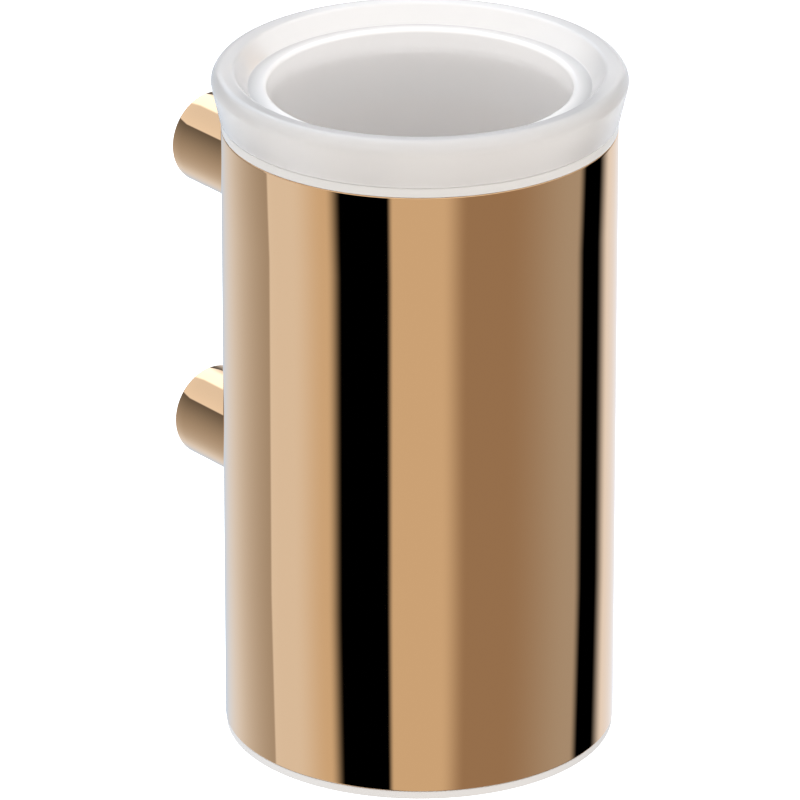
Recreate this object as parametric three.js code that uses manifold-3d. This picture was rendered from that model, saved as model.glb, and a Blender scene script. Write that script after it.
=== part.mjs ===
// Wall-mounted round bathroom holder: a polished metal sleeve carried on two round wall posts, with a
// thick frosted-glass insert that lifts out. Each post slides over a spigot screwed to the wall and is
// locked there by a grub screw from below.
//
// Millimetres, +Z up, +Y into the wall. The origin lies on the wall plane, midway between the two
// wall screw holes.
import * as THREE from 'three';
import { mergeVertices } from 'three/addons/utils/BufferGeometryUtils.js';
import Module from 'manifold-3d';

const wasm = await Module();
wasm.setup();

// ---- driving dimensions ----------------------------------------------------------------------

// The sleeve, and where the wall and the posts are from it. Heights are from the sleeve's lower edge.
const SLEEVE_RADIUS = 48;
const SLEEVE_HEIGHT = 155.2;
const SLEEVE_WALL = 1.6;
const WALL_TO_AXIS = 84.8;
const LOWER_POST_HEIGHT = 52.3;
const POST_SPACING = 74.1;

// Posts and wall spigots, all coaxial and horizontal.
const POST_RADIUS = 11.75;
const SPIGOT_RADIUS = 7.85;
const SPIGOT_LENGTH = 14;
const SPIGOT_FOOT_RADIUS = 10.3;
const SPIGOT_FOOT_THICKNESS = 2;
const WALL_SCREW_RADIUS = 2.75;
const WALL_SCREW_HEAD_RADIUS = 5.2;

// Brazed boss behind the sleeve, and the cap screw that clamps the post to it.
const BOSS_RADIUS = 7;
const BOSS_END = 58;
const BOSS_TENON_RADIUS = 4;
const POST_WEB = 5;
const CAP_SCREW_RADIUS = 2.4;
const CAP_SCREW_LENGTH = 14;
const CAP_HEAD_RADIUS = 4.25;
const CAP_HEAD_HEIGHT = 5;
const LOCK_WASHER_THICKNESS = 1.1;
const GRUB_LENGTH = 3.4;
const GRUB_FROM_WALL = 7.5;

// Plastic seat ring between sleeve and glass, and the cap that closes the sleeve from below.
const SEAT_THICKNESS = 2.5;
const SEAT_WALL = 1.5;
const SEAT_DEPTH = 10;
const CAP_RADIUS = 47.76;
const CAP_THICKNESS = 2.25;
const CAP_UPSTAND = 8;
const DRAIN_RADIUS = 6;

// Frosted-glass insert. The flange stands on the seat ring and widens upwards.
const GLASS_FOOT_HEIGHT = 2.5;
const GLASS_FOOT_RADIUS = 43.2;
const GLASS_NECK_RADIUS = 44.3;
const GLASS_FLOOR = 9;
const FLANGE_LOWER_RADIUS = 48.3;
const FLANGE_MAX_RADIUS = 50.16;
const FLANGE_MAX_HEIGHT = 9.1;
const CREST_RADIUS = 47;
const CREST_HEIGHT = 12.24;
const CREST_INNER_RADIUS = 44.7;
const LEDGE_RADIUS = 41.3;
const LEDGE_HEIGHT = 7.8;
const BORE_RADIUS = 36.96;
const BORE_FOOT_RADIUS = 35.6;

// Gaps: between faces that rest on each other, between coaxial faceted pieces, and running fits.
const REST_GAP = 0.05;
const FACET_GAP = 0.2;
const RUNNING_GAP = 0.15;

// Facets round a full turn.
const ROUND_LARGE = 64;
const ROUND_POST = 36;
const ROUND_SMALL = 24;

// ---- derived places --------------------------------------------------------------------------

const SLEEVE_INNER = SLEEVE_RADIUS - SLEEVE_WALL;
const WEB_START = BOSS_END + 0.3;
const WEB_END = WEB_START + POST_WEB;
const SPIGOT_BORE_RADIUS = SPIGOT_RADIUS + RUNNING_GAP;
const POST_END = WALL_TO_AXIS - 0.3;
const FLANGE_BASE = SLEEVE_HEIGHT + 2 * REST_GAP + SEAT_THICKNESS;
const SLEEVE_BOTTOM_Z = -LOWER_POST_HEIGHT - POST_SPACING / 2;
const POST_HEIGHTS = { upper: LOWER_POST_HEIGHT + POST_SPACING, lower: LOWER_POST_HEIGHT };

// ---- materials -------------------------------------------------------------------------------

const metal = (color, roughness) =>
  new THREE.MeshStandardMaterial({ color, roughness, metalness: 1 });
const plastic = (color, roughness) =>
  new THREE.MeshStandardMaterial({ color, roughness, metalness: 0 });

const redGold = metal(0xd3a679, 0.05);
const bareBrass = metal(0xb89a5c, 0.35);
const stainless = metal(0xb9bbbd, 0.3);
const castZinc = metal(0x9fa2a6, 0.45);
const frostedGlass = plastic(0xe2e0de, 0.45);
const seatPlastic = plastic(0xe6e3df, 0.4);
const capPlastic = plastic(0xdcdad8, 0.5);
const silicone = plastic(0xc9cccf, 0.7);

// ---- geometry helpers ------------------------------------------------------------------------

// Points on an arc about (radius, height), from one angle to another, in degrees.
function arc(centreR, centreH, radius, fromDegrees, toDegrees, steps) {
  const points = [];
  for (let i = 0; i <= steps; i += 1) {
    const turn = THREE.MathUtils.degToRad(fromDegrees + ((toDegrees - fromDegrees) * i) / steps);
    points.push([centreR + radius * Math.cos(turn), centreH + radius * Math.sin(turn)]);
  }
  return points;
}

// Keeps only positions, merged, so that neighbouring triangles share their vertices.
function weld(geometry) {
  geometry.deleteAttribute('normal');
  geometry.deleteAttribute('uv');
  return mergeVertices(geometry, 1e-5);
}

// Solid of revolution about +Z of a closed outline of [radius, height] points, anticlockwise.
function revolve(outline, segments) {
  const points = outline.map(([r, h]) => new THREE.Vector2(r, h));
  if (outline[0][0] > 0) {
    points.push(points[0].clone());
  }
  return weld(new THREE.LatheGeometry(points, segments).rotateX(Math.PI / 2));
}

// Round bar along +Z between two heights.
function bar(radius, from, to, segments) {
  return revolve([[0, from], [radius, from], [radius, to], [0, to]], segments);
}

// Hexagonal bar along +Z, by its width across flats.
function hexBar(acrossFlats, from, to) {
  const geometry = new THREE.CylinderGeometry(1, 1, to - from, 6);
  geometry.scale(acrossFlats / Math.sqrt(3), 1, acrossFlats / Math.sqrt(3));
  return weld(geometry.rotateX(Math.PI / 2).translate(0, 0, (from + to) / 2));
}

// Turns a piece built along +Z so that it points along +Y, towards the wall.
function towardsWall(geometry) {
  return geometry.rotateX(-Math.PI / 2);
}

function toManifold(geometry) {
  const mesh = new wasm.Mesh({
    numProp: 3,
    vertProperties: new Float32Array(geometry.attributes.position.array),
    triVerts: new Uint32Array(geometry.index.array),
  });
  return new wasm.Manifold(mesh);
}

function fromManifold(manifold) {
  const { vertProperties, triVerts } = manifold.getMesh();
  const geometry = new THREE.BufferGeometry();
  geometry.setAttribute('position', new THREE.BufferAttribute(vertProperties, 3));
  geometry.setIndex(new THREE.BufferAttribute(triVerts, 1));
  return geometry;
}

// A blank with each cutter taken away.
function cut(blank, ...cutters) {
  let result = toManifold(blank);
  for (const cutter of cutters) {
    result = result.subtract(toManifold(cutter));
  }
  return fromManifold(result);
}

// Two pieces joined into one.
function join(first, second) {
  return fromManifold(toManifold(first).add(toManifold(second)));
}

function piece(name, geometry, material, height = 0) {
  const mesh = new THREE.Mesh(geometry, material);
  mesh.name = name;
  mesh.position.z = height;
  return mesh;
}

// ---- sleeve and its plastic ends -------------------------------------------------------------

// Open tube with softened edges and one hole behind each post for the boss's tenon.
function outerSleeve() {
  const soft = 0.3;
  const tube = revolve([
    [SLEEVE_INNER, 0],
    [SLEEVE_RADIUS - soft, 0],
    [SLEEVE_RADIUS, soft],
    [SLEEVE_RADIUS, SLEEVE_HEIGHT - soft],
    [SLEEVE_RADIUS - soft, SLEEVE_HEIGHT],
    [SLEEVE_INNER, SLEEVE_HEIGHT],
  ], ROUND_LARGE);
  const holes = Object.values(POST_HEIGHTS).map((height) => towardsWall(
    bar(BOSS_TENON_RADIUS + FACET_GAP, SLEEVE_INNER - 3, SLEEVE_RADIUS + 3, ROUND_SMALL),
  ).translate(0, 0, height));
  return cut(tube, ...holes);
}

// L-shaped ring: its lip lies on the sleeve's upper edge, its skirt centres the glass.
function seatRing() {
  const bottom = SLEEVE_HEIGHT + REST_GAP;
  const outer = SLEEVE_INNER - FACET_GAP;
  const soft = 0.4;
  return revolve([
    [outer - SEAT_WALL, bottom - SEAT_DEPTH],
    [outer, bottom - SEAT_DEPTH],
    [outer, bottom],
    [SLEEVE_RADIUS, bottom],
    [SLEEVE_RADIUS, bottom + SEAT_THICKNESS - soft],
    [SLEEVE_RADIUS - soft, bottom + SEAT_THICKNESS],
    [outer - SEAT_WALL, bottom + SEAT_THICKNESS],
  ], ROUND_LARGE);
}

// Cap pressed into the sleeve from below: a plate with a drain hole, a lip and an upstand.
function baseCap() {
  const outer = SLEEVE_INNER - FACET_GAP;
  const inner = outer - SEAT_WALL;
  const soft = 0.5;
  return revolve([
    [DRAIN_RADIUS, -CAP_THICKNESS],
    [CAP_RADIUS - soft, -CAP_THICKNESS],
    [CAP_RADIUS, -CAP_THICKNESS + soft],
    [CAP_RADIUS, -REST_GAP],
    [outer, -REST_GAP],
    [outer, CAP_UPSTAND - soft],
    [outer - soft, CAP_UPSTAND],
    [inner, CAP_UPSTAND],
    [inner, -REST_GAP],
    [DRAIN_RADIUS, -REST_GAP],
  ], ROUND_LARGE);
}

// Soft ring on the base cap that the glass foot comes down on.
function footCushion() {
  const innerRadius = 30;
  const outerRadius = 39;
  const soft = 0.6;
  const top = GLASS_FOOT_HEIGHT - 0.3;
  return revolve([
    [innerRadius, 0],
    [outerRadius, 0],
    [outerRadius, top - soft],
    [outerRadius - soft, top],
    [innerRadius + soft, top],
    [innerRadius, top - soft],
  ], ROUND_LARGE);
}

// ---- glass -----------------------------------------------------------------------------------

// Thick tumbler with a drafted outside, a widening flange, a rounded crest and a stepped ledge.
function glassInsert() {
  const footRadius = 3;
  const innerCorner = 5;
  const crestCorner = FLANGE_MAX_RADIUS - CREST_RADIUS;
  const floor = GLASS_FOOT_HEIGHT + GLASS_FLOOR;
  const crestCentre = FLANGE_BASE + CREST_HEIGHT - crestCorner;
  const boreEdge = 1.1;
  const kickUp = 1;
  return revolve([
    [0, GLASS_FOOT_HEIGHT + kickUp],
    [26, GLASS_FOOT_HEIGHT + kickUp],
    [29, GLASS_FOOT_HEIGHT],
    ...arc(GLASS_FOOT_RADIUS - footRadius, GLASS_FOOT_HEIGHT + footRadius, footRadius, -90, 0, 3),
    [GLASS_NECK_RADIUS, FLANGE_BASE - SEAT_DEPTH],
    [GLASS_NECK_RADIUS, FLANGE_BASE],
    [FLANGE_LOWER_RADIUS - 0.3, FLANGE_BASE],
    [FLANGE_LOWER_RADIUS, FLANGE_BASE + 0.3],
    ...arc(CREST_RADIUS, crestCentre, crestCorner, -8, 90, 5),
    ...arc(CREST_INNER_RADIUS, FLANGE_BASE + CREST_HEIGHT - 1.4, 1.2, 90, 150, 3),
    [LEDGE_RADIUS + 0.5, FLANGE_BASE + LEDGE_HEIGHT + 0.4],
    [LEDGE_RADIUS - 0.2, FLANGE_BASE + LEDGE_HEIGHT],
    ...arc(BORE_RADIUS + boreEdge, FLANGE_BASE + LEDGE_HEIGHT - boreEdge + 0.3, boreEdge, 90, 180, 3),
    ...arc(BORE_FOOT_RADIUS - innerCorner, floor + innerCorner, innerCorner, 0, -90, 4),
    [0, floor],
  ], ROUND_LARGE);
}

// ---- posts and their fixings, along the post's own axis ---------------------------------------

// Bar from the sleeve's curve to the wall: a socket for the boss, a web, then a bore for the spigot.
function post() {
  const soft = 0.4;
  const blank = revolve([
    [0, SLEEVE_RADIUS - 6],
    [POST_RADIUS, SLEEVE_RADIUS - 6],
    [POST_RADIUS, POST_END - soft],
    [POST_RADIUS - soft, POST_END],
    [0, POST_END],
  ], ROUND_POST);
  const saddle = bar(SLEEVE_RADIUS + FACET_GAP, -40, 40, ROUND_LARGE);
  const footRecess = SPIGOT_FOOT_THICKNESS + 0.3;
  const sockets = [
    bar(BOSS_RADIUS + FACET_GAP, SLEEVE_RADIUS - 8, WEB_START, ROUND_POST),
    bar(CAP_SCREW_RADIUS + 0.3, WEB_START - 1, WEB_END + 1, ROUND_SMALL),
    bar(SPIGOT_BORE_RADIUS, WEB_END, POST_END + 1, ROUND_POST),
    bar(SPIGOT_FOOT_RADIUS + 0.3, POST_END - footRecess, POST_END + 1, ROUND_POST),
  ].map(towardsWall);
  const grubHole = bar(CAP_SCREW_RADIUS + FACET_GAP, -POST_RADIUS - 2, -2, ROUND_SMALL)
    .translate(0, WALL_TO_AXIS - GRUB_FROM_WALL, 0);
  return cut(towardsWall(blank), saddle, ...sockets, grubHole);
}

// Boss brazed to the sleeve, with a tenon through the sleeve wall and a blind threaded hole.
function sleeveBoss() {
  const body = towardsWall(bar(BOSS_RADIUS, SLEEVE_RADIUS - 5, BOSS_END, ROUND_POST));
  const saddle = bar(SLEEVE_RADIUS + FACET_GAP, -20, 20, ROUND_LARGE);
  const tenon = towardsWall(
    bar(BOSS_TENON_RADIUS, SLEEVE_INNER + 0.3, SLEEVE_RADIUS + 1.5, ROUND_SMALL),
  );
  const thread = towardsWall(
    bar(CAP_SCREW_RADIUS + FACET_GAP, SLEEVE_RADIUS + 1.5, BOSS_END + 1, ROUND_SMALL),
  );
  return cut(join(cut(body, saddle), tenon), thread);
}

// Split spring washer under the cap screw's head.
function lockWasher() {
  const from = WEB_END + REST_GAP;
  const to = from + LOCK_WASHER_THICKNESS;
  const ring = revolve([
    [CAP_SCREW_RADIUS + 0.3, from],
    [CAP_HEAD_RADIUS, from],
    [CAP_HEAD_RADIUS, to],
    [CAP_SCREW_RADIUS + 0.3, to],
  ], ROUND_SMALL);
  const split = weld(new THREE.BoxGeometry(0.5, 3, 3).rotateY(0.5).translate(0, 3.5, (from + to) / 2));
  return towardsWall(cut(ring, split));
}

// Socket cap screw that clamps the post's web to the boss.
function capScrew() {
  const seat = WEB_END + LOCK_WASHER_THICKNESS + 2 * REST_GAP;
  const soft = 0.4;
  const top = seat + CAP_HEAD_HEIGHT;
  const blank = revolve([
    [0, seat - CAP_SCREW_LENGTH],
    [CAP_SCREW_RADIUS - soft, seat - CAP_SCREW_LENGTH],
    [CAP_SCREW_RADIUS, seat - CAP_SCREW_LENGTH + soft],
    [CAP_SCREW_RADIUS, seat],
    [CAP_HEAD_RADIUS, seat],
    [CAP_HEAD_RADIUS, top - soft],
    [CAP_HEAD_RADIUS - soft, top],
    [0, top],
  ], ROUND_SMALL);
  return towardsWall(cut(blank, hexBar(4, top - 2.5, top + 1)));
}

// Spigot screwed to the wall: a round foot, a plain neck and a countersunk hole for the wall screw.
function wallSpigot() {
  const free = WALL_TO_AXIS - SPIGOT_LENGTH;
  const foot = WALL_TO_AXIS - SPIGOT_FOOT_THICKNESS;
  const sink = WALL_SCREW_HEAD_RADIUS - WALL_SCREW_RADIUS;
  const headSeat = free + 6;
  const soft = 0.8;
  const blank = revolve([
    [0, free],
    [SPIGOT_RADIUS - soft, free],
    [SPIGOT_RADIUS, free + soft],
    [SPIGOT_RADIUS, foot],
    [SPIGOT_FOOT_RADIUS, foot],
    [SPIGOT_FOOT_RADIUS, WALL_TO_AXIS],
    [0, WALL_TO_AXIS],
  ], ROUND_POST);
  const screwHole = revolve([
    [0, free - 1],
    [WALL_SCREW_HEAD_RADIUS, free - 1],
    [WALL_SCREW_HEAD_RADIUS, headSeat],
    [WALL_SCREW_RADIUS, headSeat + sink],
    [WALL_SCREW_RADIUS, WALL_TO_AXIS + 1],
    [0, WALL_TO_AXIS + 1],
  ], ROUND_SMALL);
  return towardsWall(cut(blank, screwHole));
}

// Grub screw in the underside of a post, its flat tip just off the spigot.
function grubScrew() {
  const tip = SPIGOT_RADIUS + RUNNING_GAP;
  const soft = 0.4;
  const end = tip + GRUB_LENGTH;
  const blank = revolve([
    [0, -end],
    [CAP_SCREW_RADIUS - soft, -end],
    [CAP_SCREW_RADIUS, -end + soft],
    [CAP_SCREW_RADIUS, -tip - soft],
    [CAP_SCREW_RADIUS - soft, -tip],
    [0, -tip],
  ], ROUND_SMALL);
  return cut(blank, hexBar(2.5, -end - 1, -end + 1.8))
    .translate(0, WALL_TO_AXIS - GRUB_FROM_WALL, 0);
}

// ---- assembly --------------------------------------------------------------------------------

// The holder group's origin is on the sleeve's axis, level with the sleeve's lower edge.
const holder = new THREE.Group();
holder.position.set(0, -WALL_TO_AXIS, SLEEVE_BOTTOM_Z);
holder.add(
  piece('outer_sleeve', outerSleeve(), redGold),
  piece('seat_ring', seatRing(), seatPlastic),
  piece('base_cap', baseCap(), capPlastic),
  piece('foot_cushion', footCushion(), silicone),
  piece('glass_insert', glassInsert(), frostedGlass),
);
for (const [level, height] of Object.entries(POST_HEIGHTS)) {
  holder.add(
    piece(`${level}_post`, post(), redGold, height),
    piece(`${level}_sleeve_boss`, sleeveBoss(), bareBrass, height),
    piece(`${level}_lock_washer`, lockWasher(), stainless, height),
    piece(`${level}_cap_screw`, capScrew(), stainless, height),
    piece(`${level}_wall_spigot`, wallSpigot(), castZinc, height),
    piece(`${level}_grub_screw`, grubScrew(), stainless, height),
  );
}

const model = new THREE.Group();
model.add(holder);
export default model;
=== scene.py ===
"""Looks of the wall-mounted round bathroom holder: smooth turned surfaces, finishes and studio.

Every turned piece is worked out in millimetres about the sleeve's axis, with heights counted from
the sleeve's lower edge and depths counted from that axis towards the wall, and is then placed in
metres in the shared frame.
"""
import math

import bmesh
import bpy
import numpy as np
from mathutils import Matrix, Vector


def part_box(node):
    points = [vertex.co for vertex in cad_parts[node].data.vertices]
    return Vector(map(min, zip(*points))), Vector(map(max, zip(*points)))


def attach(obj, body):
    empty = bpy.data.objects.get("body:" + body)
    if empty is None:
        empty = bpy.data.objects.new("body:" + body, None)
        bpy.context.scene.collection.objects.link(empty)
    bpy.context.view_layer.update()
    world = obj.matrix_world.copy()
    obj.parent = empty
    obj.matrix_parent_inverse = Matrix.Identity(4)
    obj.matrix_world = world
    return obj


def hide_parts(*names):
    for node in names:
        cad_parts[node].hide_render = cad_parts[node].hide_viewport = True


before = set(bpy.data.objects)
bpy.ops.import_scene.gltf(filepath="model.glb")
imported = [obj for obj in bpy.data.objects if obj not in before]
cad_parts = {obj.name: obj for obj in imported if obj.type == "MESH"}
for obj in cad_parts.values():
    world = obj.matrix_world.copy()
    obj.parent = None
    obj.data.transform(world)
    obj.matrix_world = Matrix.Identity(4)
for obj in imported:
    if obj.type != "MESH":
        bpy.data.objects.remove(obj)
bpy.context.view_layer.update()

# ---- sizes taken from the frame, in millimetres -------------------------------------------------

MM = 0.001
SLEEVE_LOW, SLEEVE_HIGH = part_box("outer_sleeve")
AXIS_Y = (SLEEVE_LOW.y + SLEEVE_HIGH.y) / 2
SLEEVE_RADIUS = (SLEEVE_HIGH.x - SLEEVE_LOW.x) / 2 / MM
SLEEVE_HEIGHT = (SLEEVE_HIGH.z - SLEEVE_LOW.z) / MM
POST_LOW, POST_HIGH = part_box("upper_post")
POST_RADIUS = (POST_HIGH.x - POST_LOW.x) / 2 / MM
POST_END = (POST_HIGH.y - AXIS_Y) / MM
WALL_DEPTH = (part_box("upper_wall_spigot")[1].y - AXIS_Y) / MM
SEAT_TOP = (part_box("seat_ring")[1].z - SLEEVE_LOW.z) / MM
CAP_BOTTOM = (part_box("base_cap")[0].z - SLEEVE_LOW.z) / MM
CAP_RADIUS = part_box("base_cap")[1].x / MM
GLASS_LOW, GLASS_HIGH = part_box("glass_insert")
GLASS_FOOT = (GLASS_LOW.z - SLEEVE_LOW.z) / MM
GLASS_TOP = (GLASS_HIGH.z - SLEEVE_LOW.z) / MM


def post_height(level):
    """Height of a post's axis above the sleeve's lower edge, in millimetres."""
    low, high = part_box(f"{level}_post")
    return ((low.z + high.z) / 2 - SLEEVE_LOW.z) / MM


# ---- camera -------------------------------------------------------------------------------------

CAMERA_AZIMUTH = math.radians(-38.2)
CAMERA_ELEVATION = math.radians(23.1)
CAMERA_DISTANCE = 44 * SLEEVE_RADIUS
CAMERA_LENS = 389
AIM_SIDEWAYS = -0.1 * SLEEVE_RADIUS
AIM_HEIGHT = 1.73 * SLEEVE_RADIUS


def in_metres(points):
    """Points about the sleeve's axis and lower edge, in millimetres, as metres in the shared frame."""
    return np.asarray(points, float) * MM + np.array([0.0, AXIS_Y, SLEEVE_LOW.z])


def make_camera():
    """A long lens, aimed a little beside the sleeve's axis and above its middle."""
    data = bpy.data.cameras.new("camera")
    data.lens = CAMERA_LENS
    data.sensor_width = 36.0
    data.clip_start = 0.1
    data.clip_end = 100.0
    camera = bpy.data.objects.new("camera", data)
    bpy.context.scene.collection.objects.link(camera)
    sin_a, cos_a = math.sin(CAMERA_AZIMUTH), math.cos(CAMERA_AZIMUTH)
    sin_e, cos_e = math.sin(CAMERA_ELEVATION), math.cos(CAMERA_ELEVATION)
    back = np.array([sin_a * cos_e, -cos_a * cos_e, sin_e])
    right = np.array([cos_a, sin_a, 0.0])
    aim = right * AIM_SIDEWAYS + np.array([0.0, 0.0, AIM_HEIGHT])
    camera.location = in_metres(aim + back * CAMERA_DISTANCE)
    camera.rotation_euler = (math.pi / 2 - CAMERA_ELEVATION, 0.0, CAMERA_AZIMUTH)
    bpy.context.scene.camera = camera


make_camera()


# ---- outlines and surfaces ----------------------------------------------------------------------

# kinds of row round a bar
SADDLE = "saddle"
HEX = "hex"
# rows across a drilled hole's window, and rings from its edge to the hole
CELLS_ALONG = 12
RINGS = 7
SHARP_DEGREES = 50
BAR_SHARP_DEGREES = 35
WELD_DISTANCE = 1e-6


def rounded(corners, steps=6):
    """An outline through corners of (across, along, fillet radius).

    Each corner with a fillet becomes an arc that touches both of its sides: its centre lies on the
    corner's bisector, at radius over the sine of half the angle.
    """
    corners = [tuple(c) + (0.0,) * (3 - len(c)) for c in corners]
    outline = []
    for i, (across, along, radius) in enumerate(corners):
        here = np.array([across, along])
        if radius <= 0:
            outline.append(here)
            continue
        before = np.array(corners[i - 1][:2]) - here
        after = np.array(corners[(i + 1) % len(corners)][:2]) - here
        before /= np.linalg.norm(before)
        after /= np.linalg.norm(after)
        half = math.acos(float(np.clip(before @ after, -1, 1))) / 2
        bisector = (before + after) / np.linalg.norm(before + after)
        centre = here + bisector * radius / math.sin(half)
        reach = radius / math.tan(half)
        start = here + before * reach - centre
        end = here + after * reach - centre
        sweep = math.pi - 2 * half
        for t in np.linspace(0, 1, steps + 1):
            mixed = (math.sin((1 - t) * sweep) * start + math.sin(t * sweep) * end) / math.sin(sweep)
            outline.append(centre + mixed)
    return np.array(outline)


def grid_faces(rows, columns, close_rows, close_columns):
    """Four-sided faces of a grid of rows by columns, joined end to start where asked."""
    i, j = np.meshgrid(
        np.arange(rows if close_rows else rows - 1),
        np.arange(columns if close_columns else columns - 1),
        indexing="ij",
    )
    i, j = i.ravel(), j.ravel()
    after_i, after_j = (i + 1) % rows, (j + 1) % columns
    return np.stack(
        [i * columns + j, i * columns + after_j, after_i * columns + after_j, after_i * columns + j], 1
    )


def make_object(name, vertices, faces, material, sharp_degrees=SHARP_DEGREES):
    """A smooth-shaded mesh object from millimetre points, its doubled points merged."""
    mesh = bpy.data.meshes.new(name)
    mesh.from_pydata(in_metres(vertices).tolist(), [], faces.tolist())
    shape = bmesh.new()
    shape.from_mesh(mesh)
    bmesh.ops.remove_doubles(shape, verts=shape.verts, dist=WELD_DISTANCE)
    unused = [vertex for vertex in shape.verts if not vertex.link_faces]
    bmesh.ops.delete(shape, geom=unused, context="VERTS")
    bmesh.ops.recalc_face_normals(shape, faces=shape.faces)
    shape.to_mesh(mesh)
    shape.free()
    mesh.validate()
    mesh.polygons.foreach_set("use_smooth", np.ones(len(mesh.polygons), bool))
    mesh.set_sharp_from_angle(angle=math.radians(sharp_degrees))
    mesh.materials.append(material)
    obj = bpy.data.objects.new(name, mesh)
    bpy.context.scene.collection.objects.link(obj)
    return obj


def turned(name, outline, material, segments=256, closed=True):
    """Surface of revolution: each outline point (radius, height) runs round the sleeve's axis."""
    angle = np.linspace(0, 2 * np.pi, segments, endpoint=False)
    radius, height = outline[:, 0][:, None], outline[:, 1][:, None]
    points = np.stack(
        [radius * np.cos(angle), radius * np.sin(angle), height + 0 * angle], -1
    ).reshape(-1, 3)
    return make_object(name, points, grid_faces(len(outline), segments, closed, True), material)


def along_post(points, level):
    """Turns (across, out, along) so that along runs to the wall and out points down."""
    across, out, along = points.T
    return np.stack([across, along, post_height(level) - out], 1)


def around(rows, columns):
    """Grid of (across, out, along) points of a bar whose rows are (radius, along, kind).

    A row of kind SADDLE lies on the sleeve's curve: along is the root of the sleeve's radius squared
    less across squared. A row of kind HEX has six flats: its radius is the half width across flats
    over the cosine of the angle from the nearest flat's middle.
    """
    angle = np.linspace(-np.pi, np.pi, columns, endpoint=False)
    grid = np.zeros((len(rows), columns, 3))
    for i, (radius, along, kind) in enumerate(rows):
        reach = np.full(columns, float(radius))
        if kind == HEX:
            reach = radius / np.cos((angle + np.pi / 6) % (np.pi / 3) - np.pi / 6)
        grid[i, :, 0] = reach * np.sin(angle)
        grid[i, :, 1] = reach * np.cos(angle)
        grid[i, :, 2] = np.sqrt(along**2 - grid[i, :, 0] ** 2) if kind == SADDLE else along
    return grid


def plain(outline):
    """An outline's (radius, along) points as rows without a kind."""
    return [(radius, along, None) for radius, along in outline]


def lines_at(hole):
    """Heights of the rows that cross a drilled hole's square window."""
    along, _, half_window = hole
    return along + np.linspace(-half_window, half_window, CELLS_ALONG + 1)


def window_loop(first, middle, cells):
    """Rows and columns of the points round a window, and their angles as seen from its centre."""
    across = list(range(-cells, cells)) + [cells] * CELLS_ALONG
    across += list(range(cells, -cells, -1)) + [-cells] * CELLS_ALONG
    along = [0] * (2 * cells) + list(range(CELLS_ALONG))
    along += [CELLS_ALONG] * (2 * cells) + list(range(CELLS_ALONG, 0, -1))
    across, along = np.array(across), np.array(along)
    angle = np.arctan2(2 * along / CELLS_ALONG - 1, across / cells)
    return first + along, middle + across, angle


def drilled(rows, columns, holes, cells, closed=True):
    """Surface of a bar with round holes through its wall, square to its axis.

    Round each hole the grid gives way to rings that pass evenly from the hole's circle to the
    square window, and lie on the bar: out is the root of radius squared less across squared.
    """
    grid = around(rows, columns)
    faces = grid_faces(len(rows), columns, closed, True)
    radii = np.array([row[0] for row in rows], float)
    heights = np.array([row[1] for row in rows], float)
    middle = columns // 2
    points = [grid.reshape(-1, 3)]
    count = len(rows) * columns
    quads = []
    for hole in holes:
        low, high = lines_at(hole)[[0, -1]]
        circles = []
        for i in range(len(rows) - CELLS_ALONG):
            ends = {round(heights[i], 4), round(heights[i + CELLS_ALONG], 4)}
            if ends != {round(low, 4), round(high, 4)} or radii[i] != radii[i + CELLS_ALONG]:
                continue
            row, column = faces[:, 0] // columns, faces[:, 0] % columns
            inside = (row >= i) & (row < i + CELLS_ALONG)
            inside &= (column >= middle - cells) & (column < middle + cells)
            faces = faces[~inside]
            loop_row, loop_column, angle = window_loop(i, middle, cells)
            if heights[i] > heights[i + CELLS_ALONG]:
                angle = -angle
            edge = grid[loop_row, loop_column][:, [0, 2]]
            circle = np.stack([hole[1] * np.cos(angle), hole[0] + hole[1] * np.sin(angle)], 1)
            steps = np.linspace(0, 1, RINGS)[:, None, None]
            flat = circle * (1 - steps) + edge * steps
            out = np.sqrt(radii[i] ** 2 - flat[..., 0] ** 2)
            rings = np.stack([flat[..., 0], out, flat[..., 1]], -1)
            points.append(rings.reshape(-1, 3))
            quads.append(grid_faces(RINGS, len(angle), False, True) + count)
            count += rings.shape[0] * rings.shape[1]
            order = np.argsort(angle)
            circles.append(rings[0][order])
        points.append(np.concatenate(circles))
        quads.append(grid_faces(2, len(circles[0]), False, True) + count)
        count += 2 * len(circles[0])
    return np.concatenate(points), np.concatenate([faces] + quads)


def bar(name, rows, columns, material, place, level, closed=True):
    """A bar from its rows, with no holes through its wall."""
    points = place(around(rows, columns).reshape(-1, 3), level)
    faces = grid_faces(len(rows), columns, closed, True)
    return make_object(name, points, faces, material, BAR_SHARP_DEGREES)


# ---- finishes -----------------------------------------------------------------------------------

# distance from the axis, in millimetres, and the share of light that passes through the glass there;
# the smaller share in the bore is painted light that makes the bore lighter
BORE_PAINTED_LIGHT_RADIUS, BORE_PAINTED_LIGHT_SHARE = 37.2, 0.35
LEDGE_PLAIN_RADIUS, LEDGE_PLAIN_SHARE = 41.0, 0.57


def finish(name, color, metallic=0.0, roughness=0.5, **sockets):
    """A Principled material with its constant values on its own sockets; returns it with its nodes."""
    material = bpy.data.materials.new(name)
    material.use_nodes = True
    nodes, links = material.node_tree.nodes, material.node_tree.links
    shader = nodes["Principled BSDF"]
    shader.inputs["Base Color"].default_value = (*color, 1.0)
    shader.inputs["Metallic"].default_value = metallic
    shader.inputs["Roughness"].default_value = roughness
    for socket, value in sockets.items():
        shader.inputs[socket.replace("_", " ")].default_value = value
    return material, nodes, links, shader


def noise(nodes, links, scale, detail=3.0, stretch=(1.0, 1.0, 1.0)):
    """Noise on the piece's own place, stretched along its axes."""
    place = nodes.new("ShaderNodeTexCoord")
    mapping = nodes.new("ShaderNodeMapping")
    mapping.inputs["Scale"].default_value = stretch
    texture = nodes.new("ShaderNodeTexNoise")
    texture.inputs["Scale"].default_value = scale
    texture.inputs["Detail"].default_value = detail
    links.new(place.outputs["Object"], mapping.inputs["Vector"])
    links.new(mapping.outputs["Vector"], texture.inputs["Vector"])
    return texture.outputs["Fac"]


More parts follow.
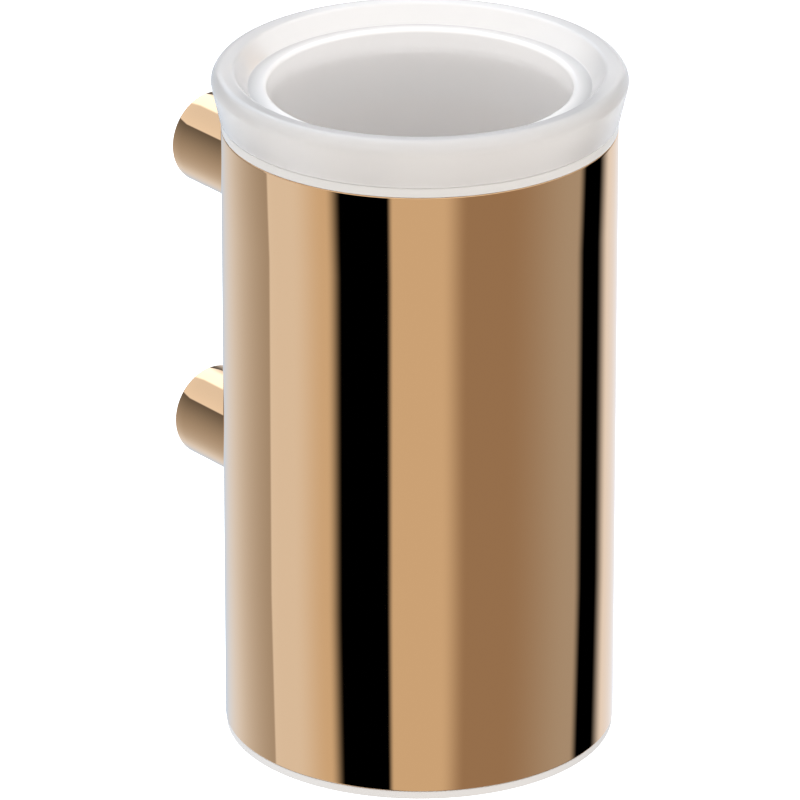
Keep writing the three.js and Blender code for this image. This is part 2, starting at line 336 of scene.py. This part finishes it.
def spread(nodes, links, value, low, high):
    """Maps a pattern from 0.3 to 0.7 onto low to high."""
    ramp = nodes.new("ShaderNodeMapRange")
    ramp.inputs["From Min"].default_value = 0.3
    ramp.inputs["From Max"].default_value = 0.7
    ramp.inputs["To Min"].default_value = low
    ramp.inputs["To Max"].default_value = high
    links.new(value, ramp.inputs["Value"])
    return ramp.outputs["Result"]


def from_axis(nodes, links):
    """A point's distance from the sleeve's axis, in metres."""
    place = nodes.new("ShaderNodeTexCoord")
    centred = nodes.new("ShaderNodeMapping")
    centred.inputs["Location"].default_value = (0.0, -AXIS_Y, 0.0)
    centred.inputs["Scale"].default_value = (1.0, 1.0, 0.0)
    length = nodes.new("ShaderNodeVectorMath")
    length.operation = "LENGTH"
    links.new(place.outputs["Object"], centred.inputs["Vector"])
    links.new(centred.outputs["Vector"], length.inputs[0])
    return length.outputs["Value"]


def add_bump(nodes, links, shader, value, distance, strength):
    """Raises the surface by a pattern, to a height in metres."""
    bump = nodes.new("ShaderNodeBump")
    bump.inputs["Strength"].default_value = strength
    bump.inputs["Distance"].default_value = distance
    links.new(value, bump.inputs["Height"])
    links.new(bump.outputs["Normal"], shader.inputs["Normal"])


def polished_red_gold():
    """Mirror-polished plating with a faint haze."""
    material, nodes, links, shader = finish("polished_red_gold", (0.80, 0.52, 0.30), 1.0, 0.03)
    haze = noise(nodes, links, 90.0, 4.0)
    links.new(spread(nodes, links, haze, 0.015, 0.035), shader.inputs["Roughness"])
    return material


def frosted_glass():
    """Cloudy satin glass: part of the light spreads in its body, the rest passes through.

    Less light passes through in the bore than across the ledge, so the bore shows lighter: painted
    light standing in for the light that falls into the cup.
    """
    material, nodes, links, shader = finish(
        "frosted_glass", (0.97, 0.945, 0.93), 0.0, 0.22, Transmission_Weight=0.57, IOR=1.45
    )
    etch = noise(nodes, links, 900.0, 3.0)
    links.new(spread(nodes, links, etch, 0.2, 0.25), shader.inputs["Roughness"])
    # painted light: the glass lets less light through in the bore and so shows lighter there, standing
    # in for light that falls into the cup
    painted_bore_light = nodes.new("ShaderNodeMapRange")
    painted_bore_light.inputs["From Min"].default_value = BORE_PAINTED_LIGHT_RADIUS * MM
    painted_bore_light.inputs["From Max"].default_value = LEDGE_PLAIN_RADIUS * MM
    painted_bore_light.inputs["To Min"].default_value = BORE_PAINTED_LIGHT_SHARE
    painted_bore_light.inputs["To Max"].default_value = LEDGE_PLAIN_SHARE
    links.new(from_axis(nodes, links), painted_bore_light.inputs["Value"])
    links.new(painted_bore_light.outputs["Result"], shader.inputs["Transmission Weight"])
    return material


def seat_plastic():
    """Translucent ring that lets light into the glass above the sleeve's edge."""
    material, nodes, links, shader = finish(
        "seat_plastic", (0.93, 0.91, 0.89), 0.0, 0.2, Transmission_Weight=0.43, IOR=1.2
    )
    grain = noise(nodes, links, 700.0)
    links.new(spread(nodes, links, grain, 0.18, 0.22), shader.inputs["Roughness"])
    return material


def cap_plastic():
    """Pale moulded plastic with a fine grain in its gloss."""
    material, nodes, links, shader = finish("cap_plastic", (0.56, 0.545, 0.535), 0.0, 0.4)
    grain = noise(nodes, links, 700.0)
    links.new(spread(nodes, links, grain, 0.35, 0.5), shader.inputs["Roughness"])
    return material


def satin_metal(name, color, roughness, grain, depth):
    """Plain metal with a fine grain in its gloss and its surface."""
    material, nodes, links, shader = finish(name, color, 1.0, roughness)
    pattern = noise(nodes, links, grain, 4.0)
    gloss = spread(nodes, links, pattern, roughness * 0.8, roughness * 1.2)
    links.new(gloss, shader.inputs["Roughness"])
    add_bump(nodes, links, shader, pattern, depth, 0.5)
    return material


def clear_silicone():
    """Soft clear rubber that spreads light in its body."""
    material, nodes, links, shader = finish(
        "clear_silicone", (0.62, 0.64, 0.66), 0.0, 0.6, Subsurface_Weight=0.5, Subsurface_Scale=0.002
    )
    grain = noise(nodes, links, 500.0)
    links.new(spread(nodes, links, grain, 0.55, 0.65), shader.inputs["Roughness"])
    return material


RED_GOLD = polished_red_gold()
GLASS = frosted_glass()
SEAT = seat_plastic()
CAP = cap_plastic()
SILICONE = clear_silicone()
BRASS = satin_metal("bare_brass", (0.55, 0.38, 0.14), 0.3, 600.0, 0.00002)
STAINLESS = satin_metal("stainless_steel", (0.52, 0.53, 0.55), 0.25, 800.0, 0.00001)
ZINC = satin_metal("cast_zinc", (0.38, 0.39, 0.41), 0.42, 400.0, 0.00004)

# ---- pieces -------------------------------------------------------------------------------------

FIT_GAP = 0.2
SLEEVE_WALL = 1.6
SLEEVE_INNER = SLEEVE_RADIUS - SLEEVE_WALL
SADDLE_RADIUS = SLEEVE_RADIUS + FIT_GAP
# the seat ring's collar and the cap's upstand fit inside the sleeve
COLLAR_OUTER = SLEEVE_INNER - FIT_GAP
COLLAR_INNER = COLLAR_OUTER - 1.5
COLLAR_DEPTH = 10
UPSTAND_HEIGHT = 8
REST_GAP = 0.05
DRAIN_RADIUS = 6
GLASS_NECK = 44.3
GLASS_FLOOR = 9
BORE_RADIUS = 36.96
BORE_FOOT_RADIUS = 35.6
CUSHION_WIDTH = 9
BOSS_RADIUS = 7.0
TENON_RADIUS = 4.0
WEB_THICKNESS = 5
RECESS_RADIUS = 10.6
RECESS_DEPTH = 2.3
THREAD_RADIUS = 2.4
SPIGOT_RADIUS = 7.85
SPIGOT_FOOT_RADIUS = 10.3
SPIGOT_FOOT_THICKNESS = 2
WALL_SCREW_RADIUS = 2.75
WALL_SCREW_HEAD_RADIUS = 5.2
CAP_HEAD_RADIUS = 4.25
CAP_HEAD_HEIGHT = 5
CAP_SOCKET = 2.0
GRUB_SOCKET = 1.25
GRUB_DEPTH = WALL_DEPTH - 7.5
SLEEVE_COLUMNS = 384
POST_COLUMNS = 180
SMALL_COLUMNS = 96
LEVELS = ("upper", "lower")


def make_sleeve():
    """Tube with a tenon hole behind each post."""
    soft_in, soft_out = 0.15, 0.35
    half_window, half_cells = 7.0, 9
    holes = [
        (post_height(level), TENON_RADIUS + FIT_GAP, half_window) for level in ("lower", "upper")
    ]
    crossings = np.concatenate([lines_at(hole) for hole in holes])
    ends = rounded([
        (SLEEVE_INNER, 0, soft_in),
        (SLEEVE_RADIUS, 0, soft_out),
        (SLEEVE_RADIUS, SLEEVE_HEIGHT, soft_out),
        (SLEEVE_INNER, SLEEVE_HEIGHT, soft_in),
    ])
    per_corner = len(ends) // 4
    rows = plain(ends[: 2 * per_corner])
    rows += [(SLEEVE_RADIUS, height, None) for height in crossings]
    rows += plain(ends[2 * per_corner :])
    rows += [(SLEEVE_INNER, height, None) for height in crossings[::-1]]
    points, faces = drilled(rows, SLEEVE_COLUMNS, holes, half_cells)
    sleeve = make_object("sleeve_tube", points, faces, RED_GOLD)
    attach(sleeve, "holder")
    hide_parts("outer_sleeve")


def make_seat_ring():
    """Flat band on the sleeve's edge, with a collar that fits inside the sleeve."""
    lip = SLEEVE_HEIGHT + REST_GAP
    outline = rounded([
        (COLLAR_INNER, lip - COLLAR_DEPTH, 0.4),
        (COLLAR_OUTER, lip - COLLAR_DEPTH, 0.4),
        (COLLAR_OUTER, lip, 0.1),
        (SLEEVE_RADIUS, lip, 0.25),
        (SLEEVE_RADIUS, SEAT_TOP, 0.45),
        (COLLAR_INNER, SEAT_TOP, 0.3),
    ])
    ring = turned("seat_ring_smooth", outline, SEAT)
    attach(ring, "holder")
    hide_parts("seat_ring")


def make_base_cap():
    """Disc under the sleeve with a drain hole, and an upstand that fits inside the sleeve."""
    outline = rounded([
        (DRAIN_RADIUS, CAP_BOTTOM, 0.5),
        (CAP_RADIUS, CAP_BOTTOM, 0.6),
        (CAP_RADIUS, -REST_GAP, 0.2),
        (COLLAR_OUTER, -REST_GAP, 0.1),
        (COLLAR_OUTER, UPSTAND_HEIGHT, 0.5),
        (COLLAR_INNER, UPSTAND_HEIGHT, 0.3),
        (COLLAR_INNER, -REST_GAP, 0.5),
        (DRAIN_RADIUS, -REST_GAP, 0.3),
    ])
    cap = turned("base_cap_smooth", outline, CAP)
    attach(cap, "holder")
    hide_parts("base_cap")


def make_glass():
    """Thick cup with a stepped, rounded flange that stands on the seat ring."""
    seat = SEAT_TOP + REST_GAP
    outline = rounded([
        (0, GLASS_FOOT + 1),
        (27, GLASS_FOOT + 1, 2.0),
        (30, GLASS_FOOT, 1.5),
        (43.1, GLASS_FOOT, 3.0),
        (GLASS_NECK, seat - 10, 5.0),
        (GLASS_NECK, seat, 0.3),
        (48.3, seat, 0.45),
        (50.5, GLASS_TOP - 2.6, 2.6),
        (48.9, GLASS_TOP, 2.4),
        (44.9, GLASS_TOP - 0.3, 1.6),
        (41.5, seat + 7.7, 0.35),
        (BORE_RADIUS, seat + 8.3, 1.1),
        (BORE_FOOT_RADIUS, GLASS_FOOT + GLASS_FLOOR, 5.0),
        (0, GLASS_FOOT + GLASS_FLOOR),
    ], 8)
    glass = turned("glass_insert_smooth", outline, GLASS, closed=False)
    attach(glass, "glass")
    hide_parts("glass_insert")


def make_foot_cushion():
    """Flat soft ring on the cap, with well rounded upper edges."""
    _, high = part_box("foot_cushion")
    top = (high.z - SLEEVE_LOW.z) / MM
    outer = high.x / MM
    inner = outer - CUSHION_WIDTH
    underside = 0.02
    outline = rounded([
        (inner, underside, 0.3),
        (outer, underside, 0.3),
        (outer, top, 0.7),
        (inner, top, 0.7),
    ])
    cushion = turned("foot_cushion_smooth", outline, SILICONE)
    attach(cushion, "holder")
    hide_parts("foot_cushion")


def make_post(level):
    """Bar with a saddle end on the sleeve, a socket and web inside, and a grub screw hole below."""
    boss_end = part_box(f"{level}_sleeve_boss")[1].y
    web_start = (boss_end - AXIS_Y) / MM + 0.3
    web_end = web_start + WEB_THICKNESS
    bore = SPIGOT_RADIUS + 0.15
    screw_hole = THREAD_RADIUS + 0.3
    recess_depth = POST_END - RECESS_DEPTH
    saddle_inner = 9.5
    half_window, half_cells = 3.6, 12
    hole = (GRUB_DEPTH, THREAD_RADIUS + FIT_GAP, half_window)
    crossings = lines_at(hole)
    rows = [(POST_RADIUS, SADDLE_RADIUS, SADDLE)]
    rows += [(POST_RADIUS, depth, None) for depth in crossings]
    rows += plain(rounded([
        (POST_RADIUS, recess_depth),
        (POST_RADIUS, POST_END, 0.4),
        (RECESS_RADIUS, POST_END, 0.15),
        (RECESS_RADIUS, recess_depth),
        (bore, recess_depth, 0.2),
        (bore, crossings[-1]),
    ])[1:-1])
    rows += [(bore, depth, None) for depth in crossings[::-1]]
    rows += plain([
        (bore, web_end),
        (screw_hole, web_end),
        (screw_hole, web_start),
        (BOSS_RADIUS + FIT_GAP, web_start),
    ])
    rows += [(BOSS_RADIUS + FIT_GAP, SADDLE_RADIUS, SADDLE), (saddle_inner, SADDLE_RADIUS, SADDLE)]
    points, faces = drilled(rows, POST_COLUMNS, [hole], half_cells)
    post = make_object(f"{level}_post_smooth", along_post(points, level), faces, RED_GOLD)
    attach(post, "holder")
    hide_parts(f"{level}_post")


def make_boss(level):
    """Boss with a saddle on the sleeve, a tenon into its wall and a blind threaded hole."""
    end = (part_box(f"{level}_sleeve_boss")[1].y - AXIS_Y) / MM
    thread = THREAD_RADIUS + FIT_GAP
    tenon_end = SLEEVE_INNER + 0.3
    thread_end = SLEEVE_RADIUS + 1.5
    rows = plain([(0, tenon_end), (TENON_RADIUS, tenon_end)])
    rows += [(TENON_RADIUS, SADDLE_RADIUS, SADDLE), (BOSS_RADIUS, SADDLE_RADIUS, SADDLE)]
    rows += plain(rounded([
        (BOSS_RADIUS, end - 2),
        (BOSS_RADIUS, end, 0.4),
        (thread, end, 0.3),
        (thread, thread_end),
        (0, thread_end),
    ]))
    boss = bar(f"{level}_boss_smooth", rows, SMALL_COLUMNS, BRASS, along_post, level, False)
    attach(boss, "holder")
    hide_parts(f"{level}_sleeve_boss")


def make_spigot(level):
    """Foot on the wall, round neck and a countersunk hole for the wall screw."""
    free = (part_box(f"{level}_wall_spigot")[0].y - AXIS_Y) / MM
    foot = WALL_DEPTH - SPIGOT_FOOT_THICKNESS
    sink_start = free + 6
    sink_end = free + 8.45
    rows = plain(rounded([
        (WALL_SCREW_HEAD_RADIUS, free, 0.3),
        (SPIGOT_RADIUS, free, 0.9),
        (SPIGOT_RADIUS, foot, 0.2),
        (SPIGOT_FOOT_RADIUS, foot, 0.3),
        (SPIGOT_FOOT_RADIUS, WALL_DEPTH, 0.05),
        (WALL_SCREW_RADIUS, WALL_DEPTH, 0.05),
        (WALL_SCREW_RADIUS, sink_end, 0.1),
        (WALL_SCREW_HEAD_RADIUS, sink_start, 0.1),
    ]))
    spigot = bar(f"{level}_spigot_smooth", rows, SMALL_COLUMNS, ZINC, along_post, level)
    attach(spigot, "wall_bases")
    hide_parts(f"{level}_wall_spigot")


def make_cap_screw(level):
    """Screw with a turned head and a hexagon socket."""
    low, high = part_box(f"{level}_cap_screw")
    tip, top = (low.y - AXIS_Y) / MM, (high.y - AXIS_Y) / MM
    under_head = top - CAP_HEAD_HEIGHT
    rows = plain(rounded([
        (0, tip),
        (THREAD_RADIUS, tip, 0.5),
        (THREAD_RADIUS, under_head),
        (CAP_HEAD_RADIUS, under_head, 0.15),
        (CAP_HEAD_RADIUS, top, 0.4),
        (2.7, top),
    ]))
    rows += [(CAP_SOCKET, top - 0.3, HEX), (CAP_SOCKET, top - 2.5, HEX), (0, top - 2.9, None)]
    screw = bar(f"{level}_cap_screw_smooth", rows, SMALL_COLUMNS, STAINLESS, along_post, level, False)
    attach(screw, "holder")
    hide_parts(f"{level}_cap_screw")


def below_post(points, level):
    """Turns (across, out, along) so that along runs down from the post's axis at the grub screw."""
    across, out, along = points.T
    return np.stack([across, GRUB_DEPTH + out, post_height(level) - along], 1)


def make_grub_screw(level):
    """Short screw with a flat tip and a hexagon socket in its lower end."""
    low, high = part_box(f"{level}_grub_screw")
    middle = SLEEVE_LOW.z / MM + post_height(level)
    tip, end = middle - high.z / MM, middle - low.z / MM
    rows = plain(rounded([(0, tip), (THREAD_RADIUS, tip, 0.4), (THREAD_RADIUS, end, 0.4), (1.7, end)]))
    rows += [(GRUB_SOCKET, end - 0.2, HEX), (GRUB_SOCKET, end - 1.8, HEX), (0, end - 2.1, None)]
    screw = bar(f"{level}_grub_screw_smooth", rows, SMALL_COLUMNS, STAINLESS, below_post, level, False)
    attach(screw, f"{level}_grub")
    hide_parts(f"{level}_grub_screw")


def finish_lock_washer(level):
    """The split washer keeps its own shape and takes the screws' steel."""
    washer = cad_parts[f"{level}_lock_washer"]
    washer.data.materials.clear()
    washer.data.materials.append(STAINLESS)


make_sleeve()
make_seat_ring()
make_base_cap()
make_glass()
make_foot_cushion()
for level in LEVELS:
    make_post(level)
    make_boss(level)
    make_spigot(level)
    make_cap_screw(level)
    make_grub_screw(level)
    finish_lock_washer(level)

# ---- studio -------------------------------------------------------------------------------------

DAYLIGHT = (0.93, 1.0, 1.1)
COOL_SKY = (0.8, 1.0, 1.25)
WARM_WHITE = (1.0, 0.92, 0.78)
AMBER = (1.0, 0.8, 0.62)
NEUTRAL = (1.0, 1.0, 1.0)
# light that the pale room gives back to matte surfaces
ROOM_FILL = 1.0


def math_node(nodes, links, operation, first, second=None, third=None):
    """One arithmetic node; its inputs are sockets or plain numbers."""
    node = nodes.new("ShaderNodeMath")
    node.operation = operation
    for socket, value in zip(node.inputs, (first, second, third)):
        if isinstance(value, (int, float)):
            socket.default_value = value
        elif value is not None:
            links.new(value, socket)
    return node.outputs[0]


def fade(nodes, links, value, start, end, first=1.0, last=0.0):
    """A smooth change from first to last as value passes from start to end."""
    node = nodes.new("ShaderNodeMapRange")
    node.interpolation_type = "SMOOTHSTEP"
    node.inputs["From Min"].default_value = start
    node.inputs["From Max"].default_value = end
    node.inputs["To Min"].default_value = first
    node.inputs["To Max"].default_value = last
    links.new(value, node.inputs["Value"])
    return node.outputs["Result"]


class Studio:
    """Plain soft boxes on a dark room. Bearings are in degrees from the camera, positive to its
    right, and elevations in degrees above the horizon."""

    def __init__(self, nodes, links):
        self.nodes, self.links = nodes, links
        place = nodes.new("ShaderNodeTexCoord")
        turn = nodes.new("ShaderNodeMapping")
        turn.inputs["Rotation"].default_value = (0, 0, -CAMERA_AZIMUTH)
        split = nodes.new("ShaderNodeSeparateXYZ")
        links.new(place.outputs["Generated"], turn.inputs["Vector"])
        links.new(turn.outputs["Vector"], split.inputs["Vector"])
        back = self.maths("MULTIPLY", split.outputs["Y"], -1.0)
        self.bearing = self.maths("DEGREES", self.maths("ARCTAN2", split.outputs["X"], back))
        self.elevation = self.maths("DEGREES", self.maths("ARCSINE", split.outputs["Z"]))
        self.light = None

    def maths(self, *inputs):
        """One arithmetic node of the world."""
        return math_node(self.nodes, self.links, *inputs)

    def add(self, amount, color):
        """Adds a light of that amount, everywhere in one colour."""
        scale = self.nodes.new("ShaderNodeVectorMath")
        scale.operation = "SCALE"
        scale.inputs[0].default_value = color
        self.links.new(amount, scale.inputs["Scale"])
        if self.light is None:
            self.light = scale.outputs["Vector"]
            return
        both = self.nodes.new("ShaderNodeVectorMath")
        both.operation = "ADD"
        self.links.new(self.light, both.inputs[0])
        self.links.new(scale.outputs["Vector"], both.inputs[1])
        self.light = both.outputs["Vector"]

    def between(self, start, end, start_edge, end_edge):
        """1 from one bearing to another, fading to 0 across each edge."""
        half = (end - start) / 2
        aside = self.maths("SUBTRACT", self.bearing, (start + end) / 2)
        aside = self.maths("WRAP", aside, 180.0, -180.0)
        enter = fade(self.nodes, self.links, aside, -half - start_edge, -half + start_edge, 0.0, 1.0)
        leave = fade(self.nodes, self.links, aside, half - end_edge, half + end_edge)
        return self.maths("MULTIPLY", enter, leave)

    def above(self, height):
        """1 above an elevation and 0 below it, changing over two degrees."""
        return fade(self.nodes, self.links, self.elevation, height - 1, height + 1, 0.0, 1.0)

    def standing_box(self, start, end, strength, color, start_edge=3, end_edge=3, top=15, top_fade=15):
        """A box that stands on the floor and fades out at its top."""
        sides = self.between(start, end, start_edge, end_edge)
        upright = fade(self.nodes, self.links, self.elevation, top - top_fade, top + top_fade)
        lit = self.maths("MULTIPLY", sides, upright)
        self.add(self.maths("MULTIPLY", lit, strength), color)

    def hanging_box(self, start, end, strength, color, bottom):
        """A box hung high, with a crisp lower edge."""
        sides = self.between(start, end, start_edge=6, end_edge=3)
        lit = self.maths("MULTIPLY", sides, self.above(bottom))
        self.add(self.maths("MULTIPLY", lit, strength), color)

    def ceiling_box(self, start, strength, color):
        """A wide box overhead, with a crisp lower edge."""
        self.add(self.maths("MULTIPLY", self.above(start), strength), color)


def make_world():
    """Soft boxes light the object; the camera, and rays through its clear pieces, see plain white."""
    world = bpy.data.worlds.new("studio")
    world.use_nodes = True
    nodes, links = world.node_tree.nodes, world.node_tree.links
    nodes.clear()
    studio = Studio(nodes, links)
    studio.standing_box(-98, -68, 0.93, DAYLIGHT, start_edge=1, end_edge=12)
    studio.standing_box(-68, -51, 0.75, WARM_WHITE, start_edge=12, end_edge=5)
    studio.standing_box(-165, -98, 0.46, NEUTRAL, start_edge=30, end_edge=1, top=12, top_fade=45)
    studio.standing_box(-178, -125, 0.6, COOL_SKY, start_edge=10, end_edge=35, top=0, top_fade=30)
    studio.standing_box(-17, 20, 0.75, WARM_WHITE, start_edge=2, end_edge=8)
    studio.standing_box(20, 75, 0.38, AMBER, start_edge=8, end_edge=25)
    studio.standing_box(75, 107, 0.48, NEUTRAL, start_edge=25, end_edge=4)
    studio.standing_box(134, 180, 1.0, DAYLIGHT, start_edge=8, end_edge=10)
    studio.hanging_box(-188, -96, 0.97, DAYLIGHT, 22)
    studio.hanging_box(-175, -144, 1.1, COOL_SKY, 22)
    studio.hanging_box(-96, 172, 0.95, NEUTRAL, 22)
    studio.ceiling_box(48, 0.4, NEUTRAL)
    seen = nodes.new("ShaderNodeLightPath")
    studio.add(studio.maths("MULTIPLY", seen.outputs["Is Diffuse Ray"], ROOM_FILL), NEUTRAL)
    light = nodes.new("ShaderNodeBackground")
    links.new(studio.light, light.inputs["Color"])
    white = nodes.new("ShaderNodeBackground")
    white.inputs["Color"].default_value = (1, 1, 1, 1)
    mixed = nodes.new("ShaderNodeMixShader")
    backdrop = seen.outputs["Is Camera Ray"], seen.outputs["Is Transmission Ray"]
    links.new(math_node(nodes, links, "MAXIMUM", *backdrop), mixed.inputs["Fac"])
    links.new(light.outputs["Background"], mixed.inputs[1])
    links.new(white.outputs["Background"], mixed.inputs[2])
    out = nodes.new("ShaderNodeOutputWorld")
    links.new(mixed.outputs["Shader"], out.inputs["Surface"])
    bpy.context.scene.world = world


def make_floor():
    """A pale floor far below, seen by the camera only."""
    size, drop = 30.0, 3.0
    corners = [(-size, -size), (size, -size), (size, size), (-size, size)]
    mesh = bpy.data.meshes.new("studio_floor")
    mesh.from_pydata([(x, y, -drop) for x, y in corners], [], [(0, 1, 2, 3)])
    material, _, _, _ = finish("pale_floor", (0.98, 0.98, 0.98), 0.0, 0.9)
    mesh.materials.append(material)
    floor = bpy.data.objects.new("studio_floor", mesh)
    bpy.context.scene.collection.objects.link(floor)
    floor.visible_diffuse = False
    floor.visible_glossy = False
    floor.visible_transmission = False
    floor.visible_shadow = False


make_world()
make_floor()
bpy.context.scene.view_settings.view_transform = "Standard"
